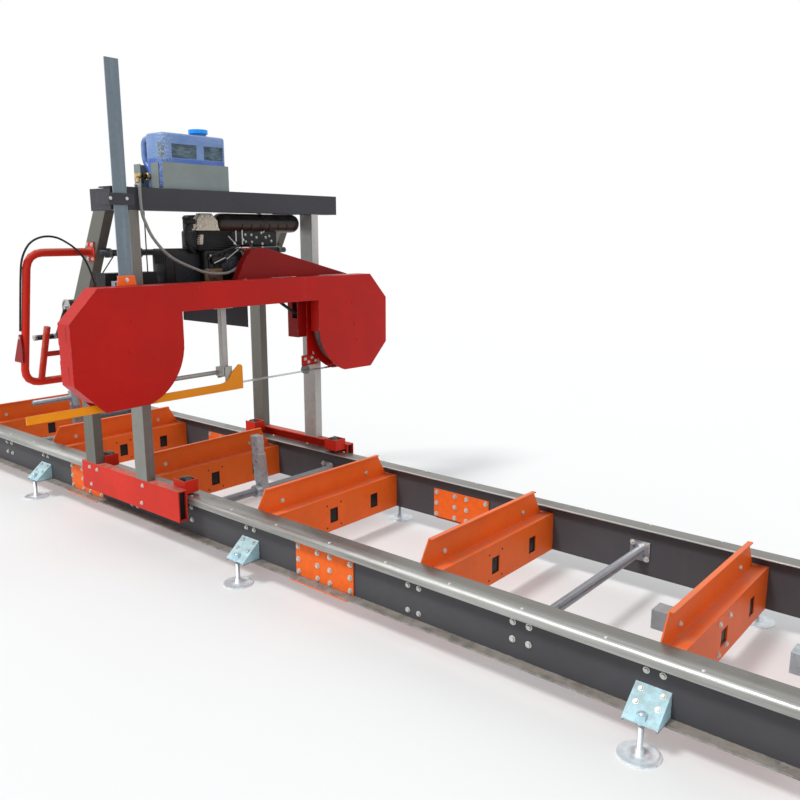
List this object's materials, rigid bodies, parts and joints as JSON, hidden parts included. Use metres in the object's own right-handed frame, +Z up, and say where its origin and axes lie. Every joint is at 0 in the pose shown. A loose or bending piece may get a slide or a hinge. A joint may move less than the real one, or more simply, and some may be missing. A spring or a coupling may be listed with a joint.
{
  "type": "portable sawmill",
  "caption": "Portable horizontal band saw mill: a lifting saw head with engine and hinged wheel covers on a carriage that rolls along a bolted track with bunks and levelling feet.",
  "frame": {"origin": "under the middle of the bounding box, on the ground under the feet", "axes": "+X along the track, +Y towards the far rail (the side away from the push handle), +Z up"},
  "size_m": [4.6948, 1.827, 1.88],
  "materials": {
    "red": "satin powder coat",
    "dark_red": "satin powder coat",
    "orange": "satin powder coat",
    "rail_grey": "matt, dusty",
    "cap_steel": "galvanised and worn bright on top",
    "post_grey": "galvanised tube",
    "beam_grey": "satin dark grey",
    "zinc": "bright zinc",
    "yellow": "satin safety yellow",
    "black": "satin black",
    "roller_steel": "turned, dusty",
    "bright_steel": "bright",
    "wheel_iron": "turned rim, cast web",
    "engine_alloy": "black painted castings and covers",
    "belt_rubber": "matt",
    "tray_grey": "grey-green satin",
    "tank_blue": "translucent blue polyethylene",
    "cap_blue": "satin plastic",
    "hose": "grey braided hose",
    "cable": "black sheath"
  },
  "bodies": {
    "track": {"near_rail_left": "rail_grey", "near_rail_middle": "rail_grey", "near_rail_right": "rail_grey", "far_rail_left": "rail_grey", "far_rail_middle": "rail_grey", "far_rail_right": "rail_grey", "near_rail_cap": "cap_steel", "far_rail_cap": "cap_steel", "bunk_1": "orange", "bunk_2": "orange", "bunk_3": "orange", "bunk_4": "orange", "bunk_5": "orange", "bunk_6": "orange", "tie_rod_1": "zinc", "tie_rod_2": "zinc", "tie_rod_3": "zinc"},
    "near_foot_1": {"near_foot_1": "zinc"},
    "near_foot_2": {"near_foot_2": "zinc"},
    "near_foot_3": {"near_foot_3": "zinc"},
    "far_foot_1": {"far_foot_1": "zinc"},
    "far_foot_2": {"far_foot_2": "zinc"},
    "far_foot_3": {"far_foot_3": "zinc"},
    "log_dog_sleeve": {"log_dog_sleeve": "zinc"},
    "log_dog_post": {"log_dog_post": "zinc"},
    "carriage": {"near_carriage_base": "red", "far_carriage_base": "red", "near_front_post": "post_grey", "far_front_post": "post_grey", "near_rear_post": "post_grey", "far_rear_post": "post_grey", "top_frame": "beam_grey", "push_handle": "red", "tank_tray": "tray_grey", "water_tank": "tank_blue", "water_hose": "hose", "throttle_cable": "cable"},
    "near_rear_roller": {"near_rear_roller": "roller_steel"},
    "near_front_roller": {"near_front_roller": "roller_steel"},
    "far_rear_roller": {"far_rear_roller": "roller_steel"},
    "far_front_roller": {"far_front_roller": "roller_steel"},
    "throttle_lever": {"throttle_lever": "dark_red"},
    "lift_shaft": {"lift_shaft": "bright_steel"},
    "winch_crank": {"winch_crank": "black"},
    "tank_cap": {"tank_cap": "cap_blue"},
    "tap_lever": {"tap_lever": "black"},
    "head": {"head_frame": "red", "saw_blade": "bright_steel", "engine": "engine_alloy", "drive_belt": "belt_rubber", "belt_guard": "dark_red", "mast": "zinc", "sawdust_deflector": "beam_grey"},
    "left_cover": {"left_cover": "red"},
    "right_cover": {"right_cover": "red"},
    "near_band_wheel": {"near_band_wheel": "wheel_iron"},
    "far_band_wheel": {"far_band_wheel": "wheel_iron"},
    "engine_pulley": {"engine_pulley": "bright_steel"},
    "guide": {"guide_arm": "post_grey", "blade_guard": "yellow"}
  },
  "joints": [
    {"name": "carriage_travel", "type": "slide", "parent": "track", "child": "carriage", "axis": [1, 0, 0], "range_m": [-1.68, 2.25]},
    {"name": "near_rear_roller_turn", "type": "hinge", "parent": "carriage", "child": "near_rear_roller", "pos_m": [-0.565, -0.3295, 0.2956], "axis": [0, 1, 0], "continuous": true},
    {"name": "near_front_roller_turn", "type": "hinge", "parent": "carriage", "child": "near_front_roller", "pos_m": [0.017, -0.3295, 0.2956], "axis": [0, 1, 0], "continuous": true},
    {"name": "far_rear_roller_turn", "type": "hinge", "parent": "carriage", "child": "far_rear_roller", "pos_m": [-0.565, 0.4965, 0.2956], "axis": [0, 1, 0], "continuous": true},
    {"name": "far_front_roller_turn", "type": "hinge", "parent": "carriage", "child": "far_front_roller", "pos_m": [0.017, 0.4965, 0.2956], "axis": [0, 1, 0], "continuous": true},
    {"name": "head_lift", "type": "slide", "parent": "carriage", "child": "head", "axis": [0, 0, 1], "range_m": [-0.29, 0]},
    {"name": "lift_shaft_turn", "type": "hinge", "parent": "carriage", "child": "lift_shaft", "pos_m": [-0.372, 0.0835, 1.196], "axis": [0, 1, 0], "range_deg": [-765, 5]},
    {"name": "winch_crank_turn", "type": "hinge", "parent": "carriage", "child": "winch_crank", "pos_m": [-0.545, -0.461, 0.976], "axis": [0, 1, 0], "continuous": true},
    {"name": "left_cover_hinge", "type": "hinge", "parent": "head", "child": "left_cover", "pos_m": [-0.094, -0.7465, 0.857], "axis": [0, 0, -1], "range_deg": [0, 100]},
    {"name": "right_cover_hinge", "type": "hinge", "parent": "head", "child": "right_cover", "pos_m": [-0.094, 0.9135, 0.857], "axis": [0, 0, 1], "range_deg": [0, 100]},
    {"name": "far_wheel_turn", "type": "hinge", "parent": "head", "child": "far_band_wheel", "pos_m": [-0.06, 0.6815, 0.857], "axis": [1, 0, 0], "continuous": true},
    {"name": "near_wheel_turn", "type": "hinge", "parent": "head", "child": "near_band_wheel", "pos_m": [-0.06, -0.5145, 0.857], "axis": [1, 0, 0], "continuous": true},
    {"name": "engine_pulley_turn", "type": "hinge", "parent": "head", "child": "engine_pulley", "pos_m": [-0.12, 0.1835, 1.13], "axis": [1, 0, 0], "continuous": true},
    {"name": "guide_slide", "type": "slide", "parent": "head", "child": "guide", "axis": [0, 1, 0], "range_m": [-0.04, 0.35]},
    {"name": "throttle_squeeze", "type": "hinge", "parent": "carriage", "child": "throttle_lever", "pos_m": [-0.5036, -0.6925, 0.87], "axis": [0, -1, 0], "range_deg": [0, 20], "stiffness_Nm_per_rad": 0.5, "springref_deg": -34.38},
    {"name": "tap_turn", "type": "hinge", "parent": "carriage", "child": "tap_lever", "pos_m": [-0.237, -0.2802, 1.495], "axis": [-1, 0, 0], "range_deg": [0, 90]},
    {"name": "tank_cap_turn", "type": "hinge", "parent": "carriage", "child": "tank_cap", "pos_m": [-0.205, -0.0285, 1.678], "axis": [0, 0, 1], "range_deg": [0, 360]},
    {"name": "log_dog_slide", "type": "slide", "parent": "track", "child": "log_dog_sleeve", "axis": [0, 1, 0], "range_m": [-0.32, 0.36]},
    {"name": "log_dog_swing", "type": "hinge", "parent": "log_dog_sleeve", "child": "log_dog_post", "pos_m": [0, 0.074, 0.172], "axis": [0, 1, 0], "range_deg": [-85, 85]},
    {"name": "near_foot_1_screw", "type": "slide", "parent": "track", "child": "near_foot_1", "axis": [0, 0, 1], "range_m": [0, 0.045]},
    {"name": "near_foot_2_screw", "type": "slide", "parent": "track", "child": "near_foot_2", "axis": [0, 0, 1], "range_m": [0, 0.045]},
    {"name": "near_foot_3_screw", "type": "slide", "parent": "track", "child": "near_foot_3", "axis": [0, 0, 1], "range_m": [0, 0.045]},
    {"name": "far_foot_1_screw", "type": "slide", "parent": "track", "child": "far_foot_1", "axis": [0, 0, 1], "range_m": [0, 0.045]},
    {"name": "far_foot_2_screw", "type": "slide", "parent": "track", "child": "far_foot_2", "axis": [0, 0, 1], "range_m": [0, 0.045]},
    {"name": "far_foot_3_screw", "type": "slide", "parent": "track", "child": "far_foot_3", "axis": [0, 0, 1], "range_m": [0, 0.045]}
  ],
  "couplings": [
    {"joint": "near_rear_roller_turn", "follows": "carriage_travel", "rad_per_m": 30.303},
    {"joint": "near_front_roller_turn", "follows": "carriage_travel", "rad_per_m": 30.303},
    {"joint": "far_rear_roller_turn", "follows": "carriage_travel", "rad_per_m": 30.303},
    {"joint": "far_front_roller_turn", "follows": "carriage_travel", "rad_per_m": 30.303},
    {"joint": "lift_shaft_turn", "follows": "head_lift", "rad_per_m": 45.455},
    {"joint": "winch_crank_turn", "follows": "head_lift", "rad_per_m": 181.82},
    {"joint": "near_wheel_turn", "follows": "far_wheel_turn", "ratio": 1},
    {"joint": "engine_pulley_turn", "follows": "far_wheel_turn", "ratio": 1.576}
  ]
}
